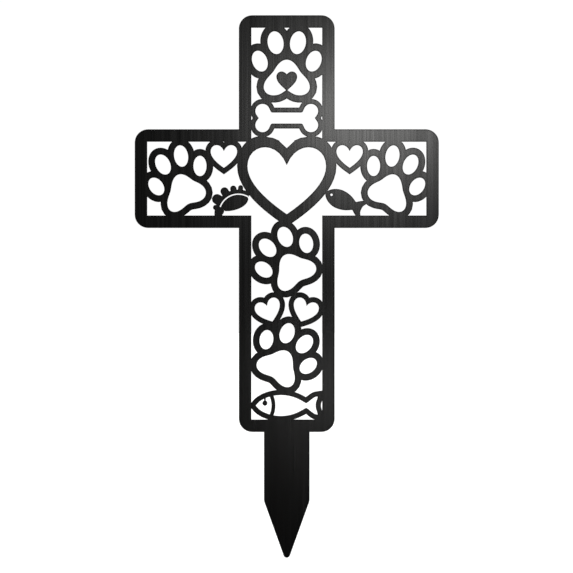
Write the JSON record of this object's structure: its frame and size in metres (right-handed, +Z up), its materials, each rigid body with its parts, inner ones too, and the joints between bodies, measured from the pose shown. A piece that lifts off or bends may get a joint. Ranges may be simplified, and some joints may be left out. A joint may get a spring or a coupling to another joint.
{
  "type": "metal grave cross",
  "caption": "Flat pierced steel cross for a pet's grave, with paws, hearts, bone and fish inside a border and a pointed stake below the foot.",
  "frame": {"origin": "middle of the stake where it enters the ground, level with the underside of the cross's foot", "axes": "+Z up along the upright, +X to the right seen from the front, the front face looks towards -Y"},
  "size_m": [0.228, 0.002, 0.4067],
  "materials": {
    "black_steel": "black, satin, with fine upright brush marks"
  },
  "bodies": {
    "root": {"cross_plate": "black_steel"}
  },
  "joints": []
}
